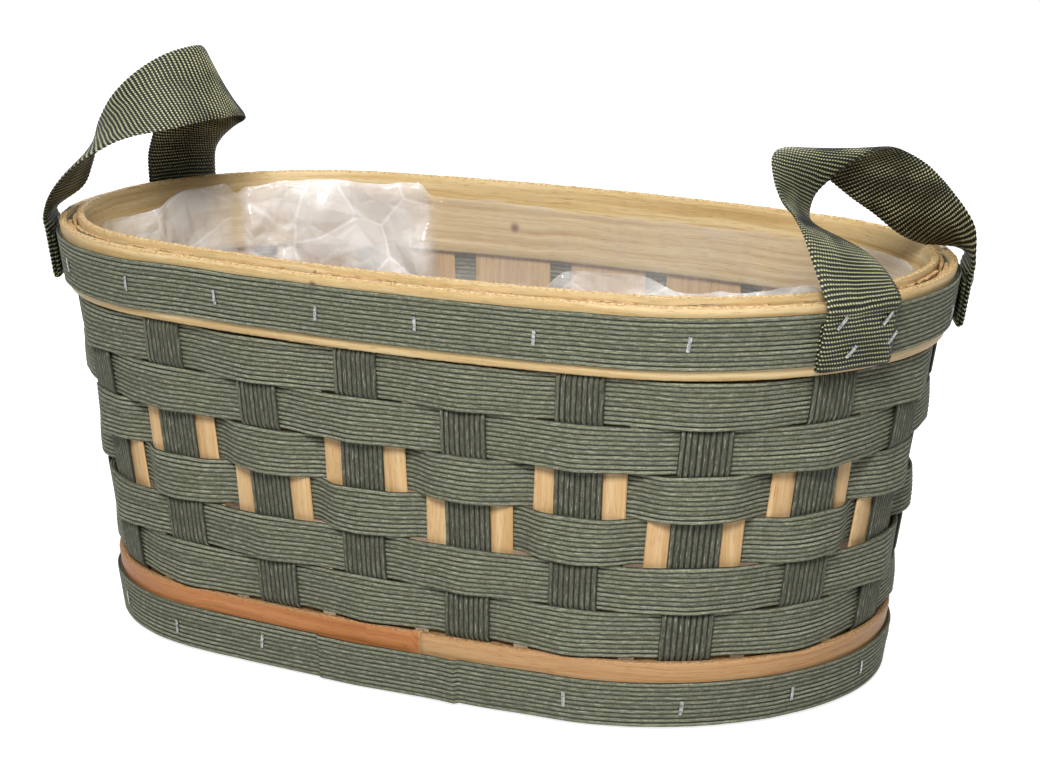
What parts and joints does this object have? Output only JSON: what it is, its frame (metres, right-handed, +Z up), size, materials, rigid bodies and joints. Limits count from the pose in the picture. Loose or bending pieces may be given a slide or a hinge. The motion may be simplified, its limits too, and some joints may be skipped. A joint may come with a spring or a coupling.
{
  "type": "trug garden basket",
  "caption": "Oval flared basket of upright wooden slats with woven paper tape, hoops at rim and foot, a plastic liner and a webbing handle at each end.",
  "frame": {"origin": "on the floor at the middle of the foot", "axes": "+Z up, +X along the basket towards the right handle, -Y towards the front"},
  "size_m": [0.3492, 0.198, 0.207],
  "materials": {
    "slat_wood": "raw veneer",
    "hoop_wood": "raw veneer",
    "foot_wood": "raw veneer",
    "board": "raw plywood",
    "paper_tape": "corded, satin",
    "film": "clear film",
    "webbing": "ribbed webbing",
    "staple_wire": "bright wire"
  },
  "bodies": {
    "basket": {"slat_01": "slat_wood", "slat_02": "slat_wood", "slat_03": "slat_wood", "slat_04": "slat_wood", "slat_05": "slat_wood", "slat_06": "slat_wood", "slat_07": "slat_wood", "slat_08": "slat_wood", "slat_09": "slat_wood", "slat_10": "slat_wood", "slat_11": "slat_wood", "slat_12": "slat_wood", "slat_13": "slat_wood", "slat_14": "slat_wood", "slat_15": "slat_wood", "slat_16": "slat_wood", "slat_17": "slat_wood", "slat_18": "slat_wood", "slat_19": "slat_wood", "slat_20": "slat_wood", "strip_01": "paper_tape", "strip_02": "paper_tape", "strip_03": "paper_tape", "strip_04": "paper_tape", "strip_05": "paper_tape", "strip_06": "paper_tape", "strip_07": "paper_tape", "strip_08": "paper_tape", "strip_09": "paper_tape", "strip_10": "paper_tape", "strip_11": "paper_tape", "strip_12": "paper_tape", "strip_13": "paper_tape", "strip_14": "paper_tape", "strip_15": "paper_tape", "strip_16": "paper_tape", "strip_17": "paper_tape", "strip_18": "paper_tape", "strip_19": "paper_tape", "strip_20": "paper_tape", "weaver_row_1": "paper_tape", "weaver_row_2": "paper_tape", "weaver_row_3": "paper_tape", "weaver_row_4": "paper_tape", "weaver_row_5": "paper_tape", "weaver_row_6": "paper_tape", "rim_outer_hoop": "hoop_wood", "rim_inner_hoop": "hoop_wood", "base_outer_hoop": "foot_wood", "base_inner_hoop": "foot_wood", "rim_tape": "paper_tape", "base_tape": "paper_tape", "base_board": "board", "liner": "film", "right_handle_ends": "webbing", "left_handle_ends": "webbing", "band_staples": "staple_wire", "handle_staples": "staple_wire"},
    "right_loop": {"right_handle_loop": "webbing"},
    "left_loop": {"left_handle_loop": "webbing"}
  },
  "joints": [
    {"name": "right_handle_tilt", "type": "hinge", "parent": "basket", "child": "right_loop", "pos_m": [0.1659, 0, 0.161], "axis": [0, 1, 0], "range_deg": [-10, 100], "stiffness_Nm_per_rad": 0.15},
    {"name": "left_handle_tilt", "type": "hinge", "parent": "basket", "child": "left_loop", "pos_m": [-0.1659, 0, 0.161], "axis": [0, -1, 0], "range_deg": [-10, 100], "stiffness_Nm_per_rad": 0.15}
  ]
}
